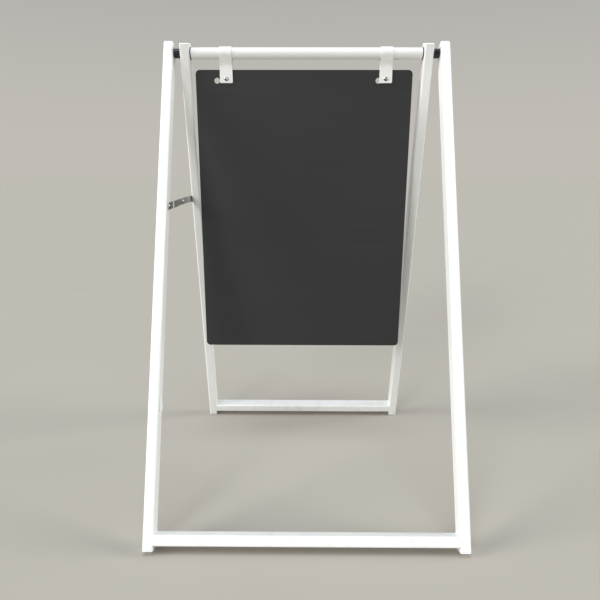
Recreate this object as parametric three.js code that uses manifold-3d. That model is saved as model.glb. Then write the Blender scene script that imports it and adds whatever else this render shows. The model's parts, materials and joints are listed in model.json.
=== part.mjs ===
// Sandwich board with a swinging sign panel.
//
// Two welded tube frames are hinged together at the top. The wide frame stands in front and the narrow
// frame nests inside it when the board is folded flat. A round bar joins the two hinge points, and a
// panel hangs from that bar on two sheet-metal straps. A two-link folding stay, on the left side only,
// holds the frames apart.
//
// Millimetres. X runs across the board, -Y is the front, +Z is up. The origin is on the ground, midway
// between the front and rear feet.

import * as THREE from "three";
import { mergeVertices } from "three/addons/utils/BufferGeometryUtils.js";
import Module from "manifold-3d";

const wasm = await Module();
wasm.setup();

// ---- Driving dimensions ---------------------------------------------------------------------------

const clearance = 0.3; // left between pieces that touch
const smallRound = 16; // sides of a rivet, screw or drilled hole
const largeRound = 32; // sides of the bar, a washer or a spacer

// Frame tubes
const frameWidth = 600; // over the outer legs
const tubeFace = 20; // across the board
const tubeDepth = 30; // front to back
const tubeWall = 1.5;
const tubeCorner = 3; // outside corner radius
const sideGap = 14.2; // between an outer leg and the inner leg beside it

const frontAngle = THREE.MathUtils.degToRad(23); // lean of the front frame
const rearAngle = THREE.MathUtils.degToRad(11.2); // lean of the rear frame
const frontReach = 994.5; // hinge to the sole of a front foot, along the leg
const frontStub = 20; // length of a front leg above the hinge
const rearStub = 20;
const frontRailUp = 19.5; // middle of the bottom rail above the sole, along the leg
const rearRailUp = 21.3;

// Plastic end caps of the legs
const capHead = 3;
const footPlug = 14; // the part of a cap that sits in the tube
const topPlug = 5;
const capEdge = 0.8; // chamfer of the cap's head

// Hinge line
const barRadius = 11.8;
const barWall = 1.6;
const boltRadius = 4;
const boltHeadRadius = 7.5;
const boltHeadDepth = 3.5;
const boltInBar = 22; // how far the bolt reaches into the bar's insert
const insertLength = 26;
const spacerRadius = 9.5;
const washerRadius = 12.3;
const washerThickness = 1.5;
const boltHoleRadius = boltRadius + 0.5;

// Folding stay
const stayFrontReach = 335.5; // hinge to the front rivet, along the front leg
const stayRearReach = 310.6; // hinge to the rear rivet, along the rear leg
const linkWidth = 14;
const linkThickness = 2;
const frontStep = { start: 28, end: 38 }; // the sideways step of each link, from its leg rivet
const rearStep = { start: 12, end: 60 };
const kneeOffset = 3.85; // front leg to the middle of the front link, where the links meet
const kneeGap = 0.5; // between the two links where they lie on each other
const rivetRadius = 2.2;
const rivetHoleRadius = 2.7;
const rivetHeadRadius = 5;
const rivetHeadHeight = 2.6;

// Catch pad on the inside of the front left leg
const catchReach = 732; // hinge to the middle of the pad, along the leg
const catchLength = 24;
const catchWidth = 16;
const catchProud = 2;
const catchToe = 0.6; // thickness of the pad where its ramp starts

// Sign panel
const panelWidth = 463;
const panelHeight = 619;
const panelThickness = 3;
const panelCorner = 9;
const panelTopBelowBar = 32; // hinge axis to the top edge
const panelOffset = -5; // the panel hangs a little to the left
const panelHoleRadius = 6;
const panelHoleBelowBar = 53.4;
const panelHoleSpacing = 345;
const panelHoleOffset = -18.5; // the pair of holes is further left than the panel

// Hanger straps
const strapSpacing = 340; // between the middles of the two straps
const strapOffset = -0.8; // the pair of straps sits a little to the left
const strapWidth = 27;
const strapThickness = 1.5;
const strapPinch = 22.5; // hinge axis to the point where the loop closes on the panel
const strapEnd = 58.6; // hinge axis to the end of the tabs
const hangerScrewBelowBar = 49.5;
const hangerScrewRadius = 2.5;
const hangerHeadRadius = 4.8;
const hangerHeadHeight = 2.7;
const hangerSocketRadius = 1.7;
const hangerSocketDepth = 1.5;
const hangerNutRadius = 4.6;
const hangerNutHeight = 4;

// ---- Sizes that follow ----------------------------------------------------------------------------

const halfDepth = tubeDepth / 2;
const frontLegX = (frameWidth - tubeFace) / 2;
const frontInnerX = frameWidth / 2 - tubeFace;
const rearOuterX = frontInnerX - sideGap;
const rearLegX = rearOuterX - tubeFace / 2;
const rearInnerX = rearOuterX - tubeFace;

// The rear edge of a front sole and the front edge of a rear sole both touch the ground.
const hingeHeight = frontReach * Math.cos(frontAngle) + halfDepth * Math.sin(frontAngle);
const rearReach = (hingeHeight - halfDepth * Math.sin(rearAngle)) / Math.cos(rearAngle);
const frontExtent = frontReach * Math.sin(frontAngle) + halfDepth * Math.cos(frontAngle);
const rearExtent = rearReach * Math.sin(rearAngle) + halfDepth * Math.cos(rearAngle);
const hingeY = (frontExtent - rearExtent) / 2;

const washerOuterX = rearInnerX - clearance;
const barHalfLength = washerOuterX - washerThickness - clearance;

// Stay rivets, measured from the hinge, and the two link lengths. The links are in one line when the
// board is open and lie along the legs, folded upwards, when it is shut.
const stayFrontPoint = new THREE.Vector2(
  -stayFrontReach * Math.sin(frontAngle),
  -stayFrontReach * Math.cos(frontAngle),
);
const stayRearPoint = new THREE.Vector2(
  stayRearReach * Math.sin(rearAngle),
  -stayRearReach * Math.cos(rearAngle),
);
const staySpan = stayFrontPoint.distanceTo(stayRearPoint);
const stayLean = Math.atan2(stayRearPoint.y - stayFrontPoint.y, stayRearPoint.x - stayFrontPoint.x);
const frontLinkLength = (staySpan + stayFrontReach - stayRearReach) / 2;
const rearLinkLength = staySpan - frontLinkLength;

// Middle planes of the links, measured inwards from the front leg across the side gap.
const halfLink = linkThickness / 2;
const frontLinkEndPlane = 0.4 + halfLink;
const rearLinkEndPlane = sideGap - 0.4 - halfLink;
const frontLinkKneePlane = kneeOffset;
const rearLinkKneePlane = frontLinkKneePlane + linkThickness + kneeGap;

const strapLoopRadius = barRadius + clearance + strapThickness / 2;
const strapTabY = panelThickness / 2 + clearance + strapThickness / 2;
const strapTabFaceY = strapTabY + strapThickness / 2;

// ---- Materials ------------------------------------------------------------------------------------

const finishes = {
  whitePaint: { color: 0xf2f3f1, roughness: 0.35, metalness: 0.1 },
  whitePlastic: { color: 0xf5f6f4, roughness: 0.45, metalness: 0 },
  blackPlastic: { color: 0x1c1d1f, roughness: 0.4, metalness: 0 },
  zincSteel: { color: 0x8b8f92, roughness: 0.4, metalness: 1 },
  darkSteel: { color: 0x4c4d4f, roughness: 0.4, metalness: 1 },
  blackBoard: { color: 0x2b2b2c, roughness: 0.75, metalness: 0 },
};

// ---- Helpers --------------------------------------------------------------------------------------

/** Adds a named mesh to a group. */
function addPiece(group, name, geometry, finish) {
  const mesh = new THREE.Mesh(geometry, new THREE.MeshStandardMaterial(finishes[finish]));
  mesh.name = name;
  group.add(mesh);
  return mesh;
}

/** Turns a closed geometry into a solid that can be cut and joined. */
function toSolid(geometry) {
  const bare = geometry.clone();
  bare.deleteAttribute("normal");
  bare.deleteAttribute("uv");
  const merged = mergeVertices(bare, 1e-4);
  return new wasm.Manifold(new wasm.Mesh({
    numProp: 3,
    vertProperties: new Float32Array(merged.attributes.position.array),
    triVerts: new Uint32Array(merged.index.array),
  }));
}

/** Turns a solid back into a geometry. */
function toGeometry(solid) {
  const mesh = solid.getMesh();
  const geometry = new THREE.BufferGeometry();
  geometry.setAttribute("position", new THREE.BufferAttribute(mesh.vertProperties, 3));
  geometry.setIndex(new THREE.BufferAttribute(mesh.triVerts, 1));
  geometry.computeVertexNormals();
  return geometry;
}

/** Cuts any number of geometries out of the first one. */
function cut(geometry, ...tools) {
  let solid = toSolid(geometry);
  for (const tool of tools) {
    solid = solid.subtract(toSolid(tool));
  }
  return toGeometry(solid);
}

/** Keeps only what two geometries share. */
function common(first, second) {
  return toGeometry(toSolid(first).intersect(toSolid(second)));
}

/** Joins geometries that overlap into one body. */
function joined(first, ...others) {
  let solid = toSolid(first);
  for (const other of others) {
    solid = solid.add(toSolid(other));
  }
  return toGeometry(solid);
}

/** A cylinder along X, between two places. */
function cylinderX(radius, startX, endX, segments = smallRound) {
  const geometry = new THREE.CylinderGeometry(radius, radius, Math.abs(endX - startX), segments);
  geometry.rotateZ(Math.PI / 2);
  geometry.translate((startX + endX) / 2, 0, 0);
  return geometry;
}

/** A cylinder along Y, between two places. */
function cylinderY(radius, startY, endY, segments = smallRound) {
  const geometry = new THREE.CylinderGeometry(radius, radius, Math.abs(endY - startY), segments);
  geometry.translate(0, (startY + endY) / 2, 0);
  return geometry;
}

/** A rectangle with round corners, centred on the origin. */
function roundedRectangle(target, width, height, radius) {
  const x = width / 2 - radius;
  const y = height / 2 - radius;
  target.absarc(x, y, radius, 0, Math.PI / 2);
  target.absarc(-x, y, radius, Math.PI / 2, Math.PI);
  target.absarc(-x, -y, radius, Math.PI, Math.PI * 1.5);
  target.absarc(x, -y, radius, Math.PI * 1.5, Math.PI * 2);
  target.closePath();
  return target;
}

/** The outline of a frame tube's section, hollow or solid, as wide as asked. */
function tubeSection(width, depth, hollow) {
  const shape = roundedRectangle(new THREE.Shape(), width, depth, tubeCorner);
  if (hollow) {
    const innerCorner = tubeCorner - tubeWall;
    const bore = new THREE.Path();
    roundedRectangle(bore, width - 2 * tubeWall, depth - 2 * tubeWall, innerCorner);
    shape.holes.push(bore);
  }
  return shape;
}

/** Extrudes a shape along +Z between two heights. */
function extrudeUp(shape, bottom, top) {
  const geometry = new THREE.ExtrudeGeometry(shape, {
    depth: top - bottom,
    bevelEnabled: false,
    curveSegments: 2,
  });
  geometry.translate(0, 0, bottom);
  return geometry;
}

/** Extrudes a shape drawn in Y and Z along +X, centred on a place. */
function extrudeAcross(shape, width, middleX = 0) {
  const geometry = new THREE.ExtrudeGeometry(shape, {
    depth: width,
    bevelEnabled: false,
    curveSegments: 4,
  });
  geometry.translate(0, 0, -width / 2);
  geometry.applyMatrix4(new THREE.Matrix4().makeBasis(
    new THREE.Vector3(0, 1, 0),
    new THREE.Vector3(0, 0, 1),
    new THREE.Vector3(1, 0, 0),
  ));
  geometry.translate(middleX, 0, 0);
  return geometry;
}

/** The outline of a bent strip: a path of points thickened by half to each side, with mitred bends. */
function ribbonShape(points, thickness) {
  const sides = [[], []];
  points.forEach((point, index) => {
    const before = points[Math.max(index - 1, 0)];
    const after = points[Math.min(index + 1, points.length - 1)];
    const incoming = point.clone().sub(before).normalize();
    const outgoing = after.clone().sub(point).normalize();
    const along = incoming.clone().add(outgoing).normalize();
    const normal = new THREE.Vector2(-along.y, along.x);
    const straight = index === 0 ? outgoing : incoming;
    const reach = thickness / 2 / Math.abs(along.dot(straight));
    sides[0].push(point.clone().addScaledVector(normal, reach));
    sides[1].unshift(point.clone().addScaledVector(normal, -reach));
  });
  return new THREE.Shape([...sides[0], ...sides[1]]);
}

/** A domed head's half outline, from the flat underside to the crown, for turning on a lathe. */
function domeProfile(radius, height) {
  const steps = 3;
  const points = [];
  for (let step = 0; step <= steps; step += 1) {
    const angle = (step / steps) * (Math.PI / 2);
    points.push(new THREE.Vector2(radius * Math.cos(angle), height * Math.sin(angle)));
  }
  points[steps].x = 0;
  return points;
}

/** A rivet or screw along +Y: a shank below the origin and a domed head above it. */
function domedPin(shankRadius, shankLength, headRadius, headHeight, segments = smallRound) {
  const profile = [
    new THREE.Vector2(0, -shankLength),
    new THREE.Vector2(shankRadius, -shankLength),
    new THREE.Vector2(shankRadius, 0),
    ...domeProfile(headRadius, headHeight),
  ];
  return new THREE.LatheGeometry(profile, segments);
}

// ---- Frames ---------------------------------------------------------------------------------------

/** A leg, hollow from end to end, with its hinge hole and any other holes drilled across it. */
function makeLeg(x, above, below, extraHoles = []) {
  const tube = extrudeUp(tubeSection(tubeFace, tubeDepth, true), -below + capHead, above - capHead);
  tube.translate(x, 0, 0);
  const hingeHole = cylinderX(boltHoleRadius, x - tubeFace, x + tubeFace);
  return cut(tube, hingeHole, ...extraHoles);
}

/** A cap for the end of a leg: a head as wide as the tube, and a plug inside it. Its head faces up. */
function makeCap(plugLength) {
  const inset = 2 * (tubeWall + clearance);
  const head = new THREE.ExtrudeGeometry(
    roundedRectangle(
      new THREE.Shape(), tubeFace - 2 * capEdge, tubeDepth - 2 * capEdge, tubeCorner - capEdge,
    ),
    {
      depth: capHead - 2 * capEdge - clearance,
      bevelEnabled: true,
      bevelThickness: capEdge,
      bevelSize: capEdge,
      bevelSegments: 1,
      curveSegments: 2,
    },
  );
  head.translate(0, 0, -capHead + capEdge + clearance);
  const plugShape = roundedRectangle(new THREE.Shape(), tubeFace - inset, tubeDepth - inset, 1.2);
  const plug = extrudeUp(plugShape, -capHead - plugLength, -capHead + 2 * clearance + capEdge);
  return joined(head, plug);
}

/** A bottom rail between two legs, its middle at a height along the legs. */
function makeRail(innerX, height) {
  const width = 2 * (innerX - clearance);
  const rail = extrudeAcross(tubeSection(tubeDepth, tubeFace, true), width);
  rail.translate(0, 0, height);
  return rail;
}

/** The two legs' caps, top and bottom, of one frame. */
function addCaps(group, prefix, legX, above, below) {
  for (const [side, sign] of [["left", -1], ["right", 1]]) {
    const top = addPiece(group, `${prefix}_${side}_top_cap`, makeCap(topPlug), "whitePlastic");
    top.position.set(sign * legX, 0, above);
    const foot = addPiece(group, `${prefix}_${side}_foot_cap`, makeCap(footPlug), "whitePlastic");
    foot.position.set(sign * legX, 0, -below);
    foot.rotation.x = Math.PI;
  }
}

/** The front frame: legs, bottom rail and caps, drawn with the hinge at the origin. */
function makeFrontFrame() {
  const frame = new THREE.Group();
  frame.position.set(0, hingeY, hingeHeight);
  frame.rotation.x = -frontAngle;

  const stayHole = cylinderX(rivetHoleRadius, -frontInnerX - tubeWall * 2, -frontInnerX + 1);
  stayHole.translate(0, 0, -stayFrontReach);

  for (const [side, sign] of [["left", -1], ["right", 1]]) {
    const sink = makeBoltHeadSink();
    if (sign < 0) {
      sink.rotateY(Math.PI);
    }
    const holes = sign < 0 ? [sink, stayHole] : [sink];
    const leg = makeLeg(sign * frontLegX, frontStub, frontReach, holes);
    addPiece(frame, `front_${side}_leg`, leg, "whitePaint");
  }
  const rail = makeRail(frontInnerX, -frontReach + frontRailUp);
  addPiece(frame, "front_bottom_rail", rail, "whitePaint");
  addCaps(frame, "front", frontLegX, frontStub, frontReach);

  const rivetHeadX = -frontInnerX + frontLinkEndPlane + halfLink + clearance;
  const rivet = domedPin(rivetRadius, rivetHeadX + frontInnerX + 3, rivetHeadRadius, rivetHeadHeight);
  rivet.rotateZ(-Math.PI / 2);
  const stayRivet = addPiece(frame, "stay_front_rivet", rivet, "darkSteel");
  stayRivet.position.set(rivetHeadX, 0, -stayFrontReach);

  addCatch(frame);
  return frame;
}

/** The rear frame, drawn the same way. */
function makeRearFrame() {
  const frame = new THREE.Group();
  frame.position.set(0, hingeY, hingeHeight);
  frame.rotation.x = rearAngle;

  const stayHole = cylinderX(rivetHoleRadius, -rearOuterX - 1, -rearOuterX + tubeWall * 2);
  stayHole.translate(0, 0, -stayRearReach);
  for (const [side, sign] of [["left", -1], ["right", 1]]) {
    const holes = sign < 0 ? [stayHole] : [];
    const leg = makeLeg(sign * rearLegX, rearStub, rearReach, holes);
    addPiece(frame, `rear_${side}_leg`, leg, "whitePaint");
  }
  const rail = makeRail(rearInnerX, -rearReach + rearRailUp);
  addPiece(frame, "rear_bottom_rail", rail, "whitePaint");
  addCaps(frame, "rear", rearLegX, rearStub, rearReach);

  const rivetHeadX = -frontInnerX + rearLinkEndPlane - halfLink - clearance;
  const shankLength = -rearOuterX + 3 - rivetHeadX;
  const rivet = domedPin(rivetRadius, shankLength, rivetHeadRadius, rivetHeadHeight);
  rivet.rotateZ(Math.PI / 2);
  const stayRivet = addPiece(frame, "stay_rear_rivet", rivet, "darkSteel");
  stayRivet.position.set(rivetHeadX, 0, -stayRearReach);
  return frame;
}

/** The catch pad on the inside of the front left leg: it ramps up from the top and ends in a step. */
function addCatch(frame) {
  const half = catchLength / 2;
  const outline = new THREE.Shape([
    new THREE.Vector2(0, -half),
    new THREE.Vector2(catchProud, -half + 1),
    new THREE.Vector2(catchProud, -half / 5),
    new THREE.Vector2(catchToe, half),
    new THREE.Vector2(0, half),
  ]);
  // The outline is drawn in X and Z, and pushed out along Y.
  const pad = new THREE.ExtrudeGeometry(outline, { depth: catchWidth, bevelEnabled: false });
  pad.rotateX(Math.PI / 2);
  pad.translate(0, catchWidth / 2, 0);
  const body = addPiece(frame, "fold_catch", pad, "whitePlastic");
  body.position.set(-frontInnerX + clearance, 0, -catchReach);
}

// ---- Hinge line -----------------------------------------------------------------------------------

/** The countersink that an outer leg's hinge bolt head sits in, on the right side. */
function makeBoltHeadSink() {
  const outerX = frameWidth / 2;
  const lip = 1;
  const profile = [
    new THREE.Vector2(0, outerX - boltHeadDepth - lip),
    new THREE.Vector2(boltRadius + clearance, outerX - boltHeadDepth - lip),
    new THREE.Vector2(boltRadius + clearance, outerX - boltHeadDepth - clearance),
    new THREE.Vector2(boltHeadRadius + clearance, outerX - clearance),
    new THREE.Vector2(boltHeadRadius + clearance, outerX + lip),
    new THREE.Vector2(0, outerX + lip),
  ];
  const sink = new THREE.LatheGeometry(profile, smallRound);
  sink.rotateZ(-Math.PI / 2);
  return sink;
}

/** A countersunk hinge bolt, head outwards on the right side, with a hexagon socket. */
function makeHingeBolt() {
  const outerX = frameWidth / 2;
  const profile = [
    new THREE.Vector2(0, barHalfLength - boltInBar),
    new THREE.Vector2(boltRadius, barHalfLength - boltInBar),
    new THREE.Vector2(boltRadius, outerX - boltHeadDepth),
    new THREE.Vector2(boltHeadRadius, outerX - 0.2),
    new THREE.Vector2(boltHeadRadius - 0.2, outerX),
    new THREE.Vector2(0, outerX),
  ];
  const bolt = new THREE.LatheGeometry(profile, smallRound);
  bolt.rotateZ(-Math.PI / 2);
  return cut(bolt, cylinderX(2.9, outerX - 2.4, outerX + 1, 6));
}

/** The bar, its end inserts, and the washers, spacers and bolts of both hinges. */
function makeHingeLine() {
  const hinge = new THREE.Group();
  hinge.position.set(0, hingeY, hingeHeight);

  const bar = cut(
    cylinderX(barRadius, -barHalfLength, barHalfLength, largeRound),
    cylinderX(barRadius - barWall, -barHalfLength - 1, barHalfLength + 1, largeRound),
  );
  addPiece(hinge, "top_bar", bar, "whitePaint");

  for (const [side, sign] of [["left", -1], ["right", 1]]) {
    const ring = (radius, startX, endX, segments) => {
      const bore = cylinderX(boltHoleRadius, sign * startX - sign, sign * endX + sign);
      return cut(cylinderX(radius, sign * startX, sign * endX, segments), bore);
    };
    const insertRadius = barRadius - barWall - clearance;
    const insert = ring(insertRadius, barHalfLength - insertLength, barHalfLength, largeRound);
    addPiece(hinge, `bar_insert_${side}`, insert, "blackPlastic");

    const washer = ring(washerRadius, washerOuterX - washerThickness, washerOuterX, largeRound);
    addPiece(hinge, `bar_washer_${side}`, washer, "blackPlastic");

    const spacer = ring(spacerRadius, rearOuterX + clearance, frontInnerX - clearance, largeRound);
    addPiece(hinge, `hinge_spacer_${side}`, spacer, "blackPlastic");

    const bolt = addPiece(hinge, `hinge_bolt_${side}`, makeHingeBolt(), "zincSteel");
    if (sign < 0) {
      bolt.rotation.z = Math.PI;
    }
  }
  return hinge;
}

// ---- Folding stay ---------------------------------------------------------------------------------

/**
 * A flat link with round ends, lying along Y from its leg rivet at the origin. It steps sideways from
 * the plane in which it lies on the leg to the plane in which it meets the other link. Planes are X
 * places, and step says where along the link the step starts and ends. direction is 1 or -1, towards
 * or away from +Y.
 */
function makeLink(length, endPlane, kneePlane, step, direction) {
  const half = linkWidth / 2;
  const path = [
    new THREE.Vector2(-half - 1, endPlane),
    new THREE.Vector2(step.start, endPlane),
    new THREE.Vector2(step.end, kneePlane),
    new THREE.Vector2(length + half + 1, kneePlane),
  ];
  // The strip is drawn with its length along X and its planes along Y, then turned into place.
  const strip = new THREE.ExtrudeGeometry(ribbonShape(path, linkThickness), {
    depth: linkWidth + 2,
    bevelEnabled: false,
  });
  strip.translate(0, 0, -half - 1);
  strip.applyMatrix4(new THREE.Matrix4().makeBasis(
    new THREE.Vector3(0, 1, 0),
    new THREE.Vector3(1, 0, 0),
    new THREE.Vector3(0, 0, -1),
  ));

  const outline = new THREE.Shape();
  outline.absarc(0, 0, half, Math.PI / 2, Math.PI * 1.5);
  outline.absarc(length, 0, half, -Math.PI / 2, Math.PI / 2);
  outline.closePath();
  for (const place of [0, length]) {
    const hole = new THREE.Path();
    hole.absarc(place, 0, rivetHoleRadius, 0, Math.PI * 2);
    outline.holes.push(hole);
  }
  const blank = extrudeAcross(outline, 4 * sideGap);
  const link = common(strip, blank);
  if (direction < 0) {
    link.applyMatrix4(new THREE.Matrix4().makeRotationX(Math.PI));
  }
  return link;
}

/** The two links, each with its half of the middle rivet. */
function makeStay() {
  const stay = new THREE.Group();
  stay.position.set(-frontInnerX, hingeY, hingeHeight);

  const front = new THREE.Group();
  front.position.set(0, stayFrontPoint.x, stayFrontPoint.y);
  front.rotation.x = stayLean;
  const frontLink = makeLink(frontLinkLength, frontLinkEndPlane, frontLinkKneePlane, frontStep, 1);
  addPiece(front, "stay_front_link", frontLink, "zincSteel");
  const kneeBack = domedPin(rivetRadius, linkThickness + clearance, rivetHeadRadius, 1.6);
  kneeBack.rotateZ(Math.PI / 2);
  const back = addPiece(front, "stay_knee_rivet_back", kneeBack, "darkSteel");
  back.position.set(frontLinkKneePlane - halfLink - clearance, frontLinkLength, 0);

  const rear = new THREE.Group();
  rear.position.set(0, stayRearPoint.x, stayRearPoint.y);
  rear.rotation.x = stayLean;
  const rearLink = makeLink(rearLinkLength, rearLinkEndPlane, rearLinkKneePlane, rearStep, -1);
  addPiece(rear, "stay_rear_link", rearLink, "zincSteel");
  const kneeFront = domedPin(rivetRadius, linkThickness + clearance, rivetHeadRadius, rivetHeadHeight);
  kneeFront.rotateZ(-Math.PI / 2);
  const head = addPiece(rear, "stay_knee_rivet_head", kneeFront, "darkSteel");
  head.position.set(rearLinkKneePlane + halfLink + clearance, -rearLinkLength, 0);

  stay.add(front, rear);
  return stay;
}

// ---- Sign panel and its hangers -------------------------------------------------------------------

/** The middle line of a hanger strap: up one tab, round the bar, and down the other tab. */
function strapPath() {
  const pinch = new THREE.Vector2(strapTabY, -strapPinch);
  const towardsPinch = Math.atan2(pinch.y, pinch.x);
  const leaveAngle = towardsPinch + Math.acos(strapLoopRadius / pinch.length());
  const steps = 18;
  const points = [new THREE.Vector2(strapTabY, -strapEnd), pinch];
  for (let step = 0; step <= steps; step += 1) {
    const angle = leaveAngle + (step / steps) * (Math.PI - 2 * leaveAngle);
    points.push(new THREE.Vector2(
      strapLoopRadius * Math.cos(angle),
      strapLoopRadius * Math.sin(angle),
    ));
  }
  points.push(new THREE.Vector2(-pinch.x, pinch.y), new THREE.Vector2(-strapTabY, -strapEnd));
  return points;
}

/** The panel: a flat sheet with round corners, two screw holes and two larger holes. */
function makePanel(strapPlaces, holePlaces) {
  const middleHeight = -panelTopBelowBar - panelHeight / 2;
  const outline = roundedRectangle(new THREE.Shape(), panelWidth, panelHeight, panelCorner);
  const addHole = (x, height, radius) => {
    const hole = new THREE.Path();
    hole.absarc(x - panelOffset, height - middleHeight, radius, 0, Math.PI * 2);
    outline.holes.push(hole);
  };
  strapPlaces.forEach((place) => addHole(place, -hangerScrewBelowBar, hangerScrewRadius + clearance));
  holePlaces.forEach((place) => addHole(place, -panelHoleBelowBar, panelHoleRadius));
  const panel = new THREE.ExtrudeGeometry(outline, {
    depth: panelThickness,
    bevelEnabled: false,
    curveSegments: 5,
  });
  panel.rotateX(Math.PI / 2);
  panel.translate(panelOffset, panelThickness / 2, middleHeight);
  return panel;
}

/** A hanger screw's solid: a domed head in front with a hexagon socket, and its shank behind. */
function makeHangerScrew() {
  const shankLength = 2 * strapTabFaceY + 2 * clearance + hangerNutHeight + 1;
  const screw = domedPin(hangerScrewRadius, shankLength, hangerHeadRadius, hangerHeadHeight);
  const socketFloor = hangerHeadHeight - hangerSocketDepth;
  const socket = cylinderY(hangerSocketRadius, socketFloor, hangerHeadHeight + 1, 6);
  const geometry = cut(screw, socket);
  geometry.rotateX(Math.PI);
  return geometry;
}

/** The panel with its straps, screws and nuts, hanging straight down from the hinge line. */
function makeSign() {
  const sign = new THREE.Group();
  sign.position.set(0, hingeY, hingeHeight);

  const places = [strapOffset - strapSpacing / 2, strapOffset + strapSpacing / 2];
  const holePlaces = [panelHoleOffset - panelHoleSpacing / 2, panelHoleOffset + panelHoleSpacing / 2];
  addPiece(sign, "sign_panel", makePanel(places, holePlaces), "blackBoard");

  for (const [index, side] of ["left", "right"].entries()) {
    const x = places[index];
    const strap = extrudeAcross(ribbonShape(strapPath(), strapThickness), strapWidth);
    const hole = cylinderY(hangerScrewRadius + clearance, -20, 20);
    hole.translate(0, 0, -hangerScrewBelowBar);
    const hanger = addPiece(sign, `hanger_strap_${side}`, cut(strap, hole), "whitePaint");
    hanger.position.x = x;

    const screw = addPiece(sign, `hanger_screw_${side}`, makeHangerScrew(), "darkSteel");
    screw.position.set(x, -strapTabFaceY - clearance, -hangerScrewBelowBar);

    const nutStart = strapTabFaceY + clearance;
    const nutBody = cut(
      cylinderY(hangerNutRadius, nutStart, nutStart + hangerNutHeight, 6),
      cylinderY(hangerScrewRadius + clearance, nutStart - 1, nutStart + hangerNutHeight + 1),
    );
    const nut = addPiece(sign, `hanger_nut_${side}`, nutBody, "zincSteel");
    nut.position.set(x, 0, -hangerScrewBelowBar);
  }
  return sign;
}

// ---- Whole board ----------------------------------------------------------------------------------

const board = new THREE.Group();
board.add(makeFrontFrame(), makeRearFrame(), makeHingeLine(), makeStay(), makeSign());

export default board;
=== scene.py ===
# %% [markdown]
# # A folding pavement sign
#
# The object is a board that stands outside a shop: a wide tube frame in front, a narrow one behind it,
# a round bar across the top and a black panel that swings from the bar. The sizes, the joints and the
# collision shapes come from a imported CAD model, the frame. This notebook builds the visible surfaces
# around it: each piece is worked out as numpy arrays, put where the frame says, and given a finish.

# %% Load the frame
import json
import math

import bmesh
import bpy
import numpy as np
from mathutils import Matrix, Vector


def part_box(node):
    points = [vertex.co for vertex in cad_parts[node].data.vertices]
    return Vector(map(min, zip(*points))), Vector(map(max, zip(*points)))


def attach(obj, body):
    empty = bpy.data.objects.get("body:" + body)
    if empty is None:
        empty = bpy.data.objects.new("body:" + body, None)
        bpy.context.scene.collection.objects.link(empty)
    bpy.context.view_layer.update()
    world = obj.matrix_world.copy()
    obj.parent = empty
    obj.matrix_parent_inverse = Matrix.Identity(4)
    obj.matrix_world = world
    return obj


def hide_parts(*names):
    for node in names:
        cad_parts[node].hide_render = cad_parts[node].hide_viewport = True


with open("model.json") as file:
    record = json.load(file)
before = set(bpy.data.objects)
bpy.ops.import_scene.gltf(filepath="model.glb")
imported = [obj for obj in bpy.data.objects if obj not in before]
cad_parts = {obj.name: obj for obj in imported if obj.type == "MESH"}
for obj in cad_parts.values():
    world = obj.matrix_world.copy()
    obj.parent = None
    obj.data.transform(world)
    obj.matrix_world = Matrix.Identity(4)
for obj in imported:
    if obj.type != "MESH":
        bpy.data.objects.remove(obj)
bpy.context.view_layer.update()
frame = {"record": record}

record = frame["record"]

# %% [markdown]
# ## Where things are
#
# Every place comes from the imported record. The hinge line is where the fold joint is, and each frame's
# lean is the direction of its soles. A frame is drawn upright with the hinge at the origin and then
# leaned about the hinge, so its pieces need only one set of sizes.

# %% Places and sizes
joints = {joint["name"]: joint for joint in record["behaviour"]["joints"]}
mounts = {mount["name"]: mount for mount in record["mounts"]}
hinge = np.array(joints["frame_fold"]["pos_m"])


def leg_line(mount_name):
    """Length from the hinge to a sole, and the turn about X that brings -Z onto the leg's direction."""
    place = np.array(mounts[mount_name]["pos_m"])
    axis = mounts[mount_name]["axis"]
    reach = math.hypot(*(place - hinge)[1:])
    return reach, math.atan2(axis[1], -axis[2])


def box_corners(node):
    """A node's lowest and highest corners as arrays."""
    low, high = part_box(node)
    return np.array(low), np.array(high)


front_reach, front_turn = leg_line("front_left_sole")
rear_reach, rear_turn = leg_line("rear_left_sole")

front_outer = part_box("front_right_leg")[1][0]
front_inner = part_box("front_right_leg")[0][0]
rear_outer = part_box("rear_right_leg")[1][0]
rear_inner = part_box("rear_right_leg")[0][0]

tube_face = front_outer - front_inner
tube_depth = 0.030
tube_corner = 0.003
tube_wall = 0.0015
cap_head = 0.003
stub_above_hinge = 0.020
front_rail_above_sole = 0.0195
rear_rail_above_sole = 0.0213
front_rail = -front_reach + front_rail_above_sole
rear_rail = -rear_reach + rear_rail_above_sole

print(f"hinge {hinge.round(4)}, front leg {front_reach:.4f} m, rear leg {rear_reach:.4f} m")
print(f"leans {math.degrees(front_turn):.2f} and {math.degrees(rear_turn):.2f} degrees")

# %% [markdown]
# ## The camera
#
# A slightly wide lens, a little over a metre in front of the hinge and three quarters of the way up the
# board, looks down by about fifteen degrees. The camera's three axes are worked out from the pitch, yaw
# and roll and put into one matrix, which avoids any doubt about the order of Euler angles.

# %% Camera
camera_distance = 1.2106
camera_right = -0.0205
camera_height = 0.6958
camera_pitch = math.radians(14.81)
camera_yaw = math.radians(-0.38)
camera_roll = math.radians(0.09)
camera_lens = 31.57
camera_shift = (0.0123, 0.0050)


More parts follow.
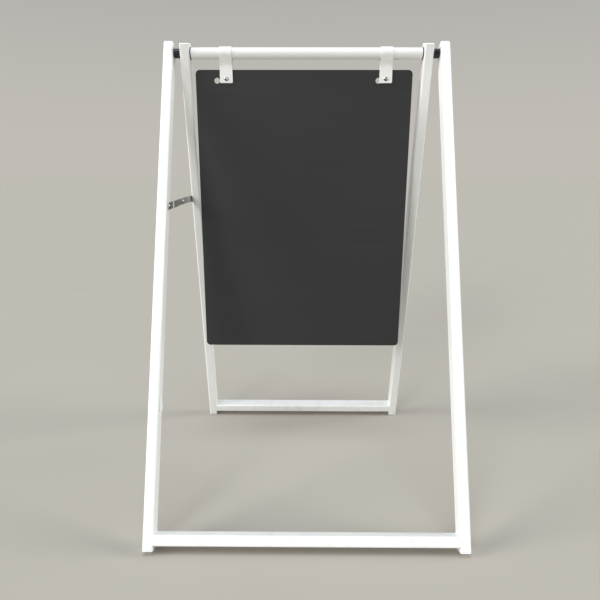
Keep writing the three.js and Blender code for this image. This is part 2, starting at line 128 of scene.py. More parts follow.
def camera_matrix():
    """Axes of a camera at yaw and pitch: forward, then right and up turned about it by the roll."""
    forward = np.array([
        math.sin(camera_yaw) * math.cos(camera_pitch),
        math.cos(camera_yaw) * math.cos(camera_pitch),
        -math.sin(camera_pitch),
    ])
    level = np.array([math.cos(camera_yaw), -math.sin(camera_yaw), 0.0])
    upright = np.cross(level, forward)
    right = math.cos(camera_roll) * level + math.sin(camera_roll) * upright
    up = math.cos(camera_roll) * upright - math.sin(camera_roll) * level
    matrix = np.eye(4)
    matrix[:3, :3] = np.stack([right, up, -forward], axis=1)
    matrix[:3, 3] = (camera_right, hinge[1] - camera_distance, camera_height)
    return Matrix(matrix.tolist())


camera_data = bpy.data.cameras.new("camera")
camera_data.lens = camera_lens
camera_data.sensor_width = 36
camera_data.shift_x, camera_data.shift_y = camera_shift
camera = bpy.data.objects.new("camera", camera_data)
camera.matrix_world = camera_matrix()
bpy.context.collection.objects.link(camera)
bpy.context.scene.camera = camera
print("camera at", tuple(round(value, 3) for value in camera.location))

# %% [markdown]
# ## Shader maths as expressions
#
# A finish is a small network of nodes. Wiring it node by node hides the idea behind it, so a socket is
# wrapped in a class that knows the operators: `1 - mask` adds one Math node and gives back its output.
# Every other node comes from one method.

# %% Sockets
class Wire:
    """A node's output that can stand in an expression."""

    def __init__(self, network, socket):
        self.network = network
        self.socket = socket

    def _math(self, operation, first, second=0.0, clamp=False):
        settings = {"operation": operation, "use_clamp": clamp}
        return self.network.node("ShaderNodeMath", settings, {0: first, 1: second})

    def __add__(self, other):
        return self._math("ADD", self, other)

    __radd__ = __add__

    def __mul__(self, other):
        return self._math("MULTIPLY", self, other)

    __rmul__ = __mul__

    def __sub__(self, other):
        return self._math("SUBTRACT", self, other)

    def __rsub__(self, other):
        return self._math("SUBTRACT", other, self)

    def clamped(self):
        """The value kept between 0 and 1."""
        return self._math("ADD", self, 0.0, clamp=True)

    def above(self, low, high):
        """0 below low, 1 above high, and a smooth rise between them."""
        settings = {"interpolation_type": "SMOOTHSTEP"}
        return self.network.node("ShaderNodeMapRange", settings, {0: self, 1: low, 2: high, 3: 0.0, 4: 1.0})


class Network:
    """A node tree that nodes are added to, each by its type, its settings and its sockets' values."""

    def __init__(self, tree):
        self.tree = tree

    def feed(self, socket, value):
        """Puts a number, a colour or a wire on a socket."""
        if isinstance(value, Wire):
            self.tree.links.new(value.socket, socket)
        else:
            socket.default_value = value

    def node(self, kind, settings=None, inputs=None, output=0):
        """Adds a node: its settings first, then its sockets' values or wires. Gives back one output."""
        node = self.tree.nodes.new(kind)
        for name, value in (settings or {}).items():
            setattr(node, name, value)
        for socket, value in (inputs or {}).items():
            self.feed(node.inputs[socket], value)
        return Wire(self, node.outputs[output])

    def mix(self, factor, first, second):
        """One colour turning into another as the factor goes from 0 to 1."""
        inputs = {0: factor}
        for index, colour in ((6, first), (7, second)):
            inputs[index] = colour if isinstance(colour, Wire) else (*colour, 1.0)
        return self.node("ShaderNodeMix", {"data_type": "RGBA"}, inputs, output=2)


# %% Finishes
class Finish(Network):
    """A material being built: a Principled shader and the nodes that feed it."""

    def __init__(self, name, colour, roughness, metallic=0.0):
        self.material = bpy.data.materials.new(name)
        self.material.use_nodes = True
        self.material.diffuse_color = (*colour, 1.0)
        super().__init__(self.material.node_tree)
        self.shader = self.tree.nodes["Principled BSDF"]
        self.set("Base Color", (*colour, 1.0))
        self.set("Roughness", roughness)
        self.set("Metallic", metallic)

    def set(self, socket, value):
        """Feeds one of the shader's own sockets."""
        self.feed(self.shader.inputs[socket], value)

    def place(self, stretch=(1.0, 1.0, 1.0), turn=(0.0, 0.0, 0.0)):
        """Object coordinates, stretched and turned."""
        coordinates = self.node("ShaderNodeTexCoord", output="Object")
        inputs = {"Vector": coordinates, "Rotation": turn, "Scale": stretch}
        return self.node("ShaderNodeMapping", {"vector_type": "POINT"}, inputs)

    def noise(self, scale, detail=2.0, roughness=0.5, place=None, distortion=0.0):
        """Fractal noise from 0 to 1; scale is in bumps per metre."""
        inputs = {
            "Vector": place or self.place(),
            "Scale": scale,
            "Detail": detail,
            "Roughness": roughness,
            "Distortion": distortion,
        }
        return self.node("ShaderNodeTexNoise", None, inputs)

    def height_above_ground(self):
        """The Z of the object coordinates, in metres."""
        return self.node("ShaderNodeSeparateXYZ", None, {0: self.place()}, output="Z")

    def bump(self, height, strength, distance):
        """Feeds the shader's normal with a bump; a second call stands on the first."""
        inputs = {"Height": height, "Strength": strength, "Distance": distance}
        if self.shader.inputs["Normal"].is_linked:
            inputs["Normal"] = Wire(self, self.shader.inputs["Normal"].links[0].from_socket)
        self.set("Normal", self.node("ShaderNodeBump", None, inputs))


print("shader helpers ready")

# %% [markdown]
# ## White powder coat
#
# The frames, the bar and the straps are steel with a baked powder coat: a clean white with a soft gloss.
# Powder flows before it sets, which leaves a very fine orange peel about a millimetre across. Out of
# doors the lower ends pick up dust, and bolts and hands leave a few faint rubs. All of it is kept faint,
# because a new coat looks almost even.

# %% White powder coat
def powder_coat(name, colour):
    """Even white, toned by slow noise, dusty near the ground, with orange peel and faint rubs."""
    finish = Finish(name, colour, roughness=0.34)
    tone = finish.noise(7.0, detail=3.0)
    grain = finish.noise(160.0, detail=4.0, roughness=0.65)
    low = 1 - finish.height_above_ground().above(0.0, 0.16)
    dust = (low * finish.noise(38.0, detail=5.0, roughness=0.7).above(0.42, 0.75)).clamped()
    rub_place = finish.place(stretch=(1.0, 1.0, 0.12), turn=(0.3, 0.2, 0.0))
    rubs = finish.noise(210.0, detail=2.0, place=rub_place).above(0.70, 0.78)

    slightly_grey = tuple(value * 0.955 for value in colour)
    base = finish.mix(tone, colour, slightly_grey)
    base = finish.mix(dust * 0.26, base, (0.52, 0.49, 0.44))
    base = finish.mix(rubs * 0.10, base, (0.45, 0.45, 0.44))
    finish.set("Base Color", base)
    finish.set("Roughness", 0.29 + tone * 0.08 + grain * 0.05 + dust * 0.22 + rubs * 0.12)
    finish.bump(finish.noise(820.0, detail=1.5), strength=0.16, distance=0.00022)
    finish.bump(finish.noise(95.0, detail=2.0), strength=0.10, distance=0.0006)
    return finish.material


white_paint = powder_coat("white powder coat", (0.868, 0.864, 0.845))
print("made", white_paint.name)

# %% [markdown]
# ## Moulded plastics
#
# The end caps are moulded in white plastic, a little clearer and cooler than the coat, and scuffed where
# they meet the ground. The spacers and washers at the hinge are turned from black nylon, so they carry
# fine rings around the X axis.

# %% Plastics
def white_plastic_finish():
    """Clear white with a faint mould grain, scuffed grey close to the ground."""
    finish = Finish("white moulded plastic", (0.90, 0.91, 0.915), roughness=0.38)
    grain = finish.noise(420.0, detail=3.0, roughness=0.6)
    low = 1 - finish.height_above_ground().above(0.001, 0.014)
    scuffs = (low * finish.noise(260.0, detail=4.0, roughness=0.7).above(0.38, 0.62)).clamped()
    base = finish.mix(finish.noise(30.0), (0.91, 0.92, 0.925), (0.87, 0.88, 0.885))
    finish.set("Base Color", finish.mix(scuffs * 0.5, base, (0.33, 0.32, 0.30)))
    finish.set("Roughness", 0.33 + grain * 0.12 + scuffs * 0.3)
    finish.bump(grain, strength=0.12, distance=0.00015)
    return finish.material


def black_nylon_finish():
    """Near black, with rings around X left by turning, and a soft gloss."""
    finish = Finish("black nylon", (0.006, 0.0062, 0.007), roughness=0.28)
    along = finish.node("ShaderNodeSeparateXYZ", None, {0: finish.place()}, output="X")
    wobble = finish.noise(60.0, detail=2.0)
    rings = finish.node("ShaderNodeMath", {"operation": "SINE"}, {0: along * 9000.0 + wobble * 3.0})
    speck = finish.noise(900.0, detail=2.0)
    base = finish.mix(speck, (0.0045, 0.0048, 0.0055), (0.009, 0.0095, 0.011))
    finish.set("Base Color", base)
    finish.set("Roughness", 0.15 + rings * 0.03 + speck * 0.06)
    finish.bump(rings, strength=0.10, distance=0.00008)
    return finish.material


white_plastic = white_plastic_finish()
black_nylon = black_nylon_finish()
print("made", white_plastic.name, "and", black_nylon.name)

# %% [markdown]
# ## Bare metals
#
# The stay's links are zinc-plated strip, a dull brownish grey with soft cloudy patches and fine rolling
# lines. Where the front link is bent, a pale highlight is painted on the faces that turn to the front or
# back, for the light that the bend catches. The rivets and screws are brighter: they need a low roughness
# and a few hairline scratches, and their faces that look down are darkened by painted shade and reflection.

# %% Metals
def zinc_finish():
    """Cloudy grey metal with fine lines, and a painted pale highlight on the bent faces that catch the light.
    """
    finish = Finish("dull zinc", (0.30, 0.295, 0.28), roughness=0.42, metallic=1.0)
    cloud = finish.noise(150.0, detail=5.0, roughness=0.65, distortion=0.6)
    lines = finish.noise(1500.0, detail=2.0, place=finish.place(stretch=(1.0, 0.05, 1.0)))
    patches = finish.node("ShaderNodeTexVoronoi", {"feature": "F1"}, {"Scale": 260.0}, output="Color")
    patch = finish.node("ShaderNodeSeparateColor", None, {0: patches}, output=0)
    base = finish.mix(cloud, (0.27, 0.262, 0.242), (0.43, 0.42, 0.395))
    base = finish.mix(patch * 0.35, base, (0.46, 0.455, 0.44))
    slope = finish.node("ShaderNodeTexCoord", output="Normal")
    slope = finish.node("ShaderNodeSeparateXYZ", None, {0: slope}, output="Y")
    # Painted highlight: faces that the bend turns to the front or back are made pale and less metallic, for
    # the light they catch.
    bend = finish.node("ShaderNodeMath", {"operation": "ABSOLUTE"}, {0: slope}).above(0.13, 0.24)
    bend_highlight = (bend * (0.6 + cloud * 0.6)).clamped()
    finish.set("Base Color", finish.mix(bend_highlight, base, (0.66, 0.68, 0.67)))
    finish.set("Roughness", 0.34 + cloud * 0.16 + patch * 0.08 + bend_highlight * 0.15)
    finish.set("Metallic", 1 - bend_highlight * 0.85)
    finish.bump(lines, strength=0.12, distance=0.00006)
    return finish.material


def bright_steel_finish(name, colour):
    """Polished plating with hairline scratches, and painted shade that darkens the faces that look down."""
    finish = Finish(name, colour, roughness=0.2, metallic=1.0)
    mottle = finish.noise(420.0, detail=3.0)
    hairs = finish.noise(2600.0, detail=1.0, place=finish.place(stretch=(1.0, 0.08, 1.0)))
    darker = tuple(value * 0.72 for value in colour)
    normal = finish.node("ShaderNodeTexCoord", output="Normal")
    upward = finish.node("ShaderNodeSeparateXYZ", None, {0: normal}, output="Z")
    # Painted shade: the faces that look down are darkened in colour to stand in for shade and a dark
    # reflection.
    painted_underside_shade = 0.85 - 0.85 * upward.above(-0.45, 0.10)
    finish.set("Base Color", finish.mix(painted_underside_shade, finish.mix(mottle, colour, darker), (0.045, 0.044, 0.042)))
    finish.set("Roughness", 0.08 + mottle * 0.10 + hairs.above(0.62, 0.72) * 0.10)
    finish.bump(hairs, strength=0.05, distance=0.00003)
    return finish.material


zinc = zinc_finish()
rivet_steel = bright_steel_finish("bright plated steel", (0.74, 0.74, 0.73))
bolt_steel = bright_steel_finish("zinc plated bolt", (0.42, 0.43, 0.44))
print("made", zinc.name, "and", rivet_steel.name)

# %% [markdown]
# ## Matt black board
#
# The panel is a matt sheet that posters are stuck to. From a distance it is one dark grey. Close to, it
# has a fine even tooth and faint sideways traces where it was wiped.

# %% Board
def board_finish():
    """Dark neutral grey with a fine tooth and faint wiped streaks."""
    finish = Finish("matt black board", (0.020, 0.020, 0.0205), roughness=0.72)
    tooth = finish.noise(1300.0, detail=2.0, roughness=0.6)
    wiped = finish.noise(9.0, detail=5.0, roughness=0.6, place=finish.place(stretch=(0.35, 1.0, 2.6)))
    streaks = finish.noise(60.0, detail=3.0, place=finish.place(stretch=(0.06, 1.0, 3.0)))
    base = finish.mix(wiped, (0.0160, 0.0160, 0.0162), (0.0195, 0.0195, 0.0198))
    finish.set("Base Color", finish.mix(streaks.above(0.58, 0.75) * 0.18, base, (0.034, 0.034, 0.034)))
    finish.set("Roughness", 0.64 + tooth * 0.14 - streaks.above(0.5, 0.8) * 0.05)
    finish.bump(tooth, strength=0.20, distance=0.00010)
    return finish.material


black_board = board_finish()
print("made", black_board.name)

# %% [markdown]
# ## Grids of points
#
# A surface here is a table of points: each row is one loop of the surface, and neighbouring rows are
# joined by quads. A loop that shrinks to a point or a line closes the surface once its doubled points
# are merged. One function turns such a table into a finished object: it merges, turns every face
# outwards by the sign of the volume, and marks the real edges sharp.

# %% Making an object from rows of points
def grid_faces(rows, columns, close_rows):
    """Quads between neighbouring points of a table whose columns run round; rows may run round too."""
    row = np.arange(rows if close_rows else rows - 1)
    row_index, column_index = np.meshgrid(row, np.arange(columns), indexing="ij")
    next_row = (row_index + 1) % rows
    next_column = (column_index + 1) % columns
    corners = [
        row_index * columns + column_index,
        row_index * columns + next_column,
        next_row * columns + next_column,
        next_row * columns + column_index,
    ]
    return np.stack(corners, axis=-1).reshape(-1, 4)


def closed_mesh(name, tables, close_rows=False, sharp=38.0):
    """A mesh of one or more tables of points, each an array of rows x columns x 3."""
    points = []
    faces = []
    count = 0
    for table in tables:
        rows, columns = table.shape[:2]
        points.append(table.reshape(-1, 3))
        faces.append(grid_faces(rows, columns, close_rows) + count)
        count += rows * columns
    mesh = bpy.data.meshes.new(name)
    mesh.from_pydata(np.concatenate(points), [], np.concatenate(faces).tolist())
    tidy = bmesh.new()
    tidy.from_mesh(mesh)
    bmesh.ops.remove_doubles(tidy, verts=tidy.verts, dist=2e-6)
    bmesh.ops.dissolve_degenerate(tidy, edges=tidy.edges, dist=1e-6)
    bmesh.ops.recalc_face_normals(tidy, faces=tidy.faces)
    if tidy.calc_volume(signed=True) < 0:
        bmesh.ops.reverse_faces(tidy, faces=tidy.faces)
    tidy.to_mesh(mesh)
    tidy.free()
    mesh.shade_smooth()
    mesh.set_sharp_from_angle(angle=math.radians(sharp))
    return mesh


def add_piece(name, mesh, body, slot, material, *nodes):
    """Puts a mesh into the scene as a piece that rides on a body and stands for its CAD nodes."""
    piece = bpy.data.objects.new(name, mesh)
    bpy.context.collection.objects.link(piece)
    mesh.materials.append(material)
    even = piece.modifiers.new("even normals", "WEIGHTED_NORMAL")
    even.keep_sharp = True
    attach(piece, body)
    if nodes:
        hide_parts(*nodes)
    return piece


print("mesh helpers ready")

# %% [markdown]
# ## Outlines and soft corners
#
# Nothing made of metal or plastic has a perfectly sharp edge. Outlines are functions that can be drawn
# again a little further in, with the same number of points, so that a few such loops give a rounded
# edge. Profiles for turned pieces are short lists of corners, each softened by a small curve.

# %% Outlines
corner_steps = 7
support = 0.0006


def rounded_rectangle(width, depth, corner, inset=0.0):
    """A rectangle with round corners, drawn inset from its edge, with two close points beside each
    corner that keep the flat sides flat. Loop of (x, y)."""
    radius = max(corner - inset, 1e-5)
    half = np.array([width / 2 - inset - radius, depth / 2 - inset - radius])
    signs = np.array([[1, 1], [-1, 1], [-1, -1], [1, -1]])
    loops = []
    for quarter, sign in enumerate(signs):
        angle = (quarter + np.linspace(0, 1, corner_steps)) * math.pi / 2
        arc = sign * half + radius * np.stack([np.cos(angle), np.sin(angle)], axis=1)
        before = arc[0] + support * np.array([math.sin(angle[0]), -math.cos(angle[0])])
        after = arc[-1] + support * np.array([-math.sin(angle[-1]), math.cos(angle[-1])])
        loops.append(np.vstack([before, arc, after]))
    return np.concatenate(loops)


def soft_profile(corners, radius, steps=5, closed=False):
    """A path of points with each corner replaced by a small curve: a quadratic curve from a little
    before the corner, pulled by it, to a little after."""
    corners = np.asarray(corners, dtype=float)
    count = len(corners)
    softened = [] if closed else [corners[0]]
    inner = range(count) if closed else range(1, count - 1)
    blend = np.linspace(0, 1, steps)[:, None]
    for index in inner:
        here = corners[index]
        before = corners[index - 1]
        after = corners[(index + 1) % count]
        reach_in = min(radius, np.linalg.norm(before - here) * 0.49)
        reach_out = min(radius, np.linalg.norm(after - here) * 0.49)
        start = here + (before - here) / np.linalg.norm(before - here) * reach_in
        end = here + (after - here) / np.linalg.norm(after - here) * reach_out
        softened.extend((1 - blend) ** 2 * start + 2 * blend * (1 - blend) * here + blend ** 2 * end)
    if not closed:
        softened.append(corners[-1])
    return np.array(softened)


def edge_rounding(edge, steps=4):
    """(inset, rise) pairs of a quarter circle that goes from an inset flat face out to a side wall."""
    angle = np.linspace(0, math.pi / 2, steps)
    return edge * (1 - np.sin(angle)), edge * (1 - np.cos(angle))


print("outline helpers ready")

# %% [markdown]
# ## Leaning a frame
#
# Frame pieces are drawn upright around the hinge. Turning the points about X and adding the hinge's
# place puts them where the CAD frame is, and the object itself stays at the origin, unturned.

# %% Placing points
def leaned(points, turn):
    """Points turned about X by an angle and moved so that their origin is the hinge."""
    cosine, sine = math.cos(turn), math.sin(turn)
    rotation = np.array([[1, 0, 0], [0, cosine, -sine], [0, sine, cosine]])
    return points @ rotation.T + hinge


def lifted(outline, height):
    """A loop of (x, y) raised to a height."""
    return np.column_stack([outline, np.full(len(outline), height)])


# %% [markdown]
# ## Legs and rails
#
# A leg is a rectangular tube with a thin wall. Its surface is one table that runs up the outside, over
# the rim, down the inside and back: a loop both ways, so it has no open edge anywhere. The rails are
# the same table laid across. They run a little way into the legs' round corners, because the real
# joint is welded there and ground flush.

# %% Legs
def tube_table(low, high):
    """Rows of a hollow tube standing on Z: outside from low to high, then inside back down."""
    rim = 0.0005
    inset, rise = edge_rounding(rim)
    plan = [(shift, low + step) for shift, step in zip(inset, rise)]
    plan += [(0.0, (low + high) / 2)]
    plan += [(shift, high - step) for shift, step in zip(inset[::-1], rise[::-1])]
    plan += [(tube_wall, high - rim), (tube_wall, low + rim)]
    return np.array([
        lifted(rounded_rectangle(tube_face, tube_depth, tube_corner, shift), height) for shift, height in plan
    ])


def make_leg(name, x, turn, reach, body):
    """One leg, between its two caps."""
    table = tube_table(-reach + cap_head, stub_above_hinge - cap_head)
    table[..., 0] += x
    mesh = closed_mesh(name, [leaned(table, turn)], close_rows=True)
    return add_piece(name + "_tube", mesh, body, "white_paint", white_paint, name)


front_x = (front_outer + front_inner) / 2
rear_x = (rear_outer + rear_inner) / 2
legs = {}
frames = (("front", front_x, front_turn, front_reach), ("rear", rear_x, rear_turn, rear_reach))
for side, sign in (("left", -1), ("right", 1)):
    for frame_name, x, turn, reach in frames:
        name = f"{frame_name}_{side}"
        legs[name] = make_leg(name + "_leg", sign * x, turn, reach, f"{frame_name}_frame")
print("made", len(legs), "legs")

# %% Rails
def make_rail(name, inner_x, height, turn, body):
    """A rail between two legs: the same tube, its section turned so that its long side is the depth."""
    into_corner = tube_corner - 0.0002
    table = tube_table(-inner_x - into_corner, inner_x + into_corner)
    section_x, section_y, along = np.moveaxis(table, -1, 0)
    laid = np.stack([along, section_y, section_x + height], axis=-1)
    mesh = closed_mesh(name, [leaned(laid, turn)], close_rows=True)
    return add_piece(name + "_tube", mesh, body, "white_paint", white_paint, name)


make_rail("front_bottom_rail", front_inner, front_rail, front_turn, "front_frame")
make_rail("rear_bottom_rail", rear_inner, rear_rail, rear_turn, "rear_frame")
print("made 2 rails")

# %% [markdown]
# ## Weld beads
#
# Where a rail meets a leg there is a fillet weld on the top and the underside, painted over. The front
# and the back are ground flush. A bead is a small section, hollow towards the corner, carried round the
# rail's outline. Its size swells and shrinks a little along the way, as the ripples of a weld do, and
# falls to nothing at the ground faces.

# %% Weld beads
bead_size = 0.0030
bead_sunk = 0.0006


def bead_table(side, inner_x, height):
    """Rows round the rail's outline. Each is a loop: from the leg's face along a hollow curve to the
    rail's face, then back through the metal."""
    outline = rounded_rectangle(tube_face, tube_depth, tube_corner)
    steps = 6
    outline = np.concatenate([
        outline + (np.roll(outline, -1, axis=0) - outline) * step / steps for step in range(steps)
    ]).reshape(steps, -1, 2).transpose(1, 0, 2).reshape(-1, 2)
    ahead = np.roll(outline, -1, axis=0) - np.roll(outline, 1, axis=0)
    length = np.linalg.norm(ahead, axis=1, keepdims=True)
    outward = np.column_stack([ahead[:, 1], -ahead[:, 0]]) / length
    travelled = np.cumsum(length[:, 0] / 2)
    ripple = 1 + 0.07 * np.sin(travelled / 0.0011) + 0.05 * np.sin(travelled / 0.0047)
    from_flush = np.clip((tube_depth / 2 - 0.0008 - np.abs(outline[:, 1])) / 0.004, 0, 1)
    size = bead_size * ripple * np.sqrt(from_flush)
    angle = np.linspace(0, math.pi / 2, 7)
    off_rail = np.concatenate([1 - np.sin(angle), [0]])
    off_leg = np.concatenate([1 - np.cos(angle), [0]])
    out = size[:, None] * off_rail - (off_rail + off_leg == 0) * bead_sunk
    out = np.where(size[:, None] < 1e-6, -bead_sunk, out)
    back = size[:, None] * off_leg - (off_rail + off_leg == 0) * bead_sunk
    rim = outline[:, None, :] + outward[:, None, :] * out[..., None]
    x = side * (inner_x - back)
    return np.stack([x, rim[..., 1], rim[..., 0] + height], axis=-1)


for name, inner_x, height, turn in (
        ("front", front_inner, front_rail, front_turn), ("rear", rear_inner, rear_rail, rear_turn)):
    tables = [leaned(bead_table(side, inner_x, height), turn) for side in (-1, 1)]
    mesh = closed_mesh(f"{name}_weld_beads", tables, close_rows=True, sharp=60.0)
    add_piece(f"{name}_weld_beads", mesh, f"{name}_frame", "white_paint", white_paint)
print("made 2 pairs of weld beads")

# %% [markdown]
# ## End caps
#
# A cap is a shallow box with a soft top edge that is pushed into the tube. Its surface is a stack of
# rounded rectangles: the plug inside the tube, a thin shadow line where head and tube meet, the side
# of the head, and the rounded edge that ends in the middle of the top.

# %% End caps
def cap_table(edge, plug_length):
    """Rows of a cap whose head faces +Z and ends at height 0: plug, shoulder, side, rounded edge."""
    gap = 0.0003
    inset, rise = edge_rounding(edge, steps=7)
    plug = tube_wall + gap
    low = -cap_head - plug_length
    deepest = tube_face * 0.44
    plan = [(tube_depth * 0.49, low), (plug + 0.001, low), (plug, low + 0.001)]
    plan += [(plug, -cap_head + gap), (0.0004, -cap_head + gap), (0.0, -cap_head + 2 * gap)]
    plan += [(shift, -step) for shift, step in zip(inset[::-1], rise[::-1])]
    plan += [(edge + 0.0008, 0.0), (tube_face * 0.3, 0.0), (tube_depth * 0.49, 0.0)]
    rows = []
    for shift, height in plan:
        loop = rounded_rectangle(tube_face, tube_depth, tube_corner, min(shift, deepest))
        squeeze = 0.0 if shift > deepest else 1.0
        rows.append(lifted(loop * squeeze, height))
    return np.array(rows)


def make_cap(name, x, end, turn, upside_down, body):
    """A cap at the top or the foot of a leg."""
    if upside_down:
        table = cap_table(edge=0.0016, plug_length=0.014) * np.array([1, -1, -1])
    else:
        table = cap_table(edge=0.0028, plug_length=0.005)
    table = table + np.array([x, 0, end])
    mesh = closed_mesh(name, [leaned(table, turn)])
    return add_piece(name + "_shell", mesh, body, "white_plastic", white_plastic, name)


for side, sign in (("left", -1), ("right", 1)):
    for frame_name, x, turn, reach in frames:
        name = f"{frame_name}_{side}_top_cap"
        make_cap(name, sign * x, stub_above_hinge, turn, False, f"{frame_name}_frame")
    for frame_name, x, turn, reach in frames:
        name = f"{frame_name}_{side}_foot_cap"
        make_cap(name, sign * x, -reach, turn, True, f"{frame_name}_frame")
print("made 8 caps")

# %% [markdown]
# ## Turned pieces
#
# The bar, the spacers, the washers, the bolts and the rivets are all round about an axis. A profile of
# (radius, distance along) is carried round the axis. For a socket or a nut the circle is drawn in to a
# hexagon by dividing by the cosine of the angle to the nearest flat.

# %% Turned pieces
def turned(profile, sides=64, hexagon=0.0):
    """Rows of a surface round Z. hexagon, a number or one for each point of the profile, says how far
    the circle is turned into a hexagon whose corners lie on it."""
    profile = np.asarray(profile)
    angle = np.arange(sides) * 2 * math.pi / sides
    to_flat = angle % (math.pi / 3) - math.pi / 6
    flat = math.cos(math.pi / 6) / np.cos(to_flat)
    share = np.broadcast_to(hexagon, len(profile))[:, None]
    radius = profile[:, :1] * (1 - share + share * flat)
    along = np.broadcast_to(profile[:, 1:], radius.shape)
    return np.stack([radius * np.cos(angle), radius * np.sin(angle), along], axis=-1)


def hexagon_after(round_rows, rows):
    """Shares for turned: round in the first rows, a hexagon in the rest."""
    return (np.arange(rows) >= round_rows).astype(float)


def aimed(table, axis, place):
    """A table round Z, laid along X or Y with the given sign, and moved to a place."""
    a, b, along = np.moveaxis(table, -1, 0)
    if axis[1] == "x":
        laid = np.stack([along, a, b], axis=-1)
    else:
        laid = np.stack([b, along, a], axis=-1)
    if axis[0] == "-":
        laid = laid * np.array([-1, -1, 1])
    return laid + np.asarray(place)


def ring_profile(inner, outer, low, high, edge):
    """The closed section of a ring, with softened corners."""
    corners = [(inner, low), (outer, low), (outer, high), (inner, high)]
    return soft_profile(corners, edge, closed=True)


def make_ring(name, inner, edge, material, sides=96):
    """A ring round the hinge line, as wide and as large as its CAD node."""
    low, high = box_corners(name)
    outer = (high[2] - low[2]) / 2
    profile = ring_profile(inner, outer, low[0], high[0], edge)
    table = aimed(turned(profile, sides), "+x", (0, hinge[1], hinge[2]))
    mesh = closed_mesh(name, [table], close_rows=True)
    slot = "white_paint" if material is white_paint else "black_plastic"
    return add_piece(name + "_ring", mesh, "front_frame", slot, material, name)


bolt_bore = 0.0045
bar_bore = 0.0102
make_ring("top_bar", bar_bore, 0.0006, white_paint, sides=128)
for side in ("left", "right"):
    make_ring(f"hinge_spacer_{side}", bolt_bore, 0.0009, black_nylon)
    make_ring(f"bar_washer_{side}", bolt_bore, 0.0004, black_nylon)
    make_ring(f"bar_insert_{side}", bolt_bore, 0.0004, black_nylon, sides=64)
print("made the bar, 2 spacers, 2 washers and 2 inserts")

# %% [markdown]
# ## Hinge bolts
#
# The bolts go in from outside, and their heads are countersunk flush with the outer legs. The head has
# a hexagon socket. The leg gets a matching cone cut out of its wall, made with a Boolean modifier that
# is applied at once, because a hole through a flat wall is simplest to cut.

# %% Cutting a piece
def carve(piece, tool_mesh):
    """Cuts a mesh out of a piece for good, and keeps the piece's finish and shading."""
    tool = bpy.data.objects.new("cutter", tool_mesh)
    bpy.context.collection.objects.link(tool)
    saw = piece.modifiers.new("saw", "BOOLEAN")
    saw.operation = "DIFFERENCE"
    saw.solver = "EXACT"
    saw.object = tool
    piece.modifiers.move(len(piece.modifiers) - 1, 0)
    even = piece.modifiers[1]
    even.show_viewport = False
    graph = bpy.context.evaluated_depsgraph_get()
    graph.update()
    cut_mesh = bpy.data.meshes.new_from_object(piece.evaluated_get(graph))
    piece.modifiers.remove(saw)
    even.show_viewport = True
    piece.data = cut_mesh
    cut_mesh.set_sharp_from_angle(angle=math.radians(38))
    bpy.data.objects.remove(tool)
    return piece


# %% Hinge bolts
head_radius = 0.0075
head_depth = 0.0035
bolt_radius = 0.004
socket_radius = 0.0029
socket_depth = 0.0024
slack = 0.0003
inner_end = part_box("hinge_bolt_right")[0][0]

for side, sign in (("left", "-x"), ("right", "+x")):
    bolt_profile = [(0, inner_end), (bolt_radius, inner_end), (bolt_radius, front_outer - head_depth)]
    bolt_profile += [(head_radius - 0.0002, front_outer - 0.0003), (head_radius - 0.0005, front_outer)]
    bolt_profile += [(socket_radius + 0.0003, front_outer)]
    round_rows = len(bolt_profile)
    bolt_profile += [(socket_radius, front_outer - 0.0003), (socket_radius, front_outer - socket_depth)]
    bolt_profile += [(0, front_outer - socket_depth - 0.0006)]
    share = hexagon_after(round_rows, len(bolt_profile))
    table = aimed(turned(bolt_profile, 72, share), sign, (0, hinge[1], hinge[2]))
    name = f"hinge_bolt_{side}"
    add_piece(name + "_turned", closed_mesh(name, [table]), "front_frame", "zinc_steel", bolt_steel, name)

    sink = [(0, front_outer - head_depth - 0.001), (bolt_radius + slack, front_outer - head_depth - 0.001)]
    sink += [(bolt_radius + slack, front_outer - head_depth), (head_radius + slack, front_outer - 0.0001)]
    sink += [(head_radius + slack, front_outer + 0.001), (0, front_outer + 0.001)]
    cutter = closed_mesh("sink", [aimed(turned(sink, 72), sign, (0, hinge[1], hinge[2]))])
    carve(legs[f"front_{side}"], cutter)
print("made 2 hinge bolts in their countersinks")

# %% [markdown]
# ## The folding stay
#
# Two flat links hold the frames apart on the left side. Each is a strip with round ends that steps
# sideways, from lying on its leg to meeting the other link in the middle of the gap. The strip is drawn
# flat first: loops drawn further and further in, down to the strip's middle line, give its two faces,
# and a rounded edge joins them. Then every point is moved sideways by a smooth step of its place along
# the strip. The front link's step is short and sharp, the rear link's long and slow.

# %% Links
link_width = 0.014
link_thickness = 0.002
link_points = 40
front_step = (0.0265, 0.0385)
rear_step = (0.010, 0.062)


def stadium(length, radius, inset):
    """A strip's outline with half-round ends, drawn inset: two straight sides and two half circles."""
    reach = max(radius - inset, 0.0)
    sides = np.linspace(0, length, link_points)
    angle = np.linspace(-math.pi / 2, math.pi / 2, 17)[1:-1]
    right = np.column_stack([sides, np.full(link_points, -reach)])
    far = np.column_stack([length + reach * np.cos(angle), reach * np.sin(angle)])
    left = np.column_stack([sides[::-1], np.full(link_points, reach)])
    near = np.column_stack([-reach * np.cos(angle), -reach * np.sin(angle)])
    return np.concatenate([right, far, left, near])


def strip_table(outline, half_width, thickness, edge):
    """Rows from the middle line of the upper face, out over the rounded edge, to that of the lower."""
    inset, rise = edge_rounding(edge)
    face = [half_width, half_width * 0.6, half_width * 0.25, edge + 0.0003]
    plan = [(shift, thickness / 2) for shift in face]
    plan += [(shift, thickness / 2 - step) for shift, step in zip(inset, rise)]
    plan += [(shift, -height) for shift, height in reversed(plan)]
    return np.array([lifted(outline(shift), height) for shift, height in plan])


def smooth_step(value, start, end):
    """0 before start, 1 after end, and a smooth rise between."""
    share = np.clip((value - start) / (end - start), 0, 1)
    return share * share * (3 - 2 * share)


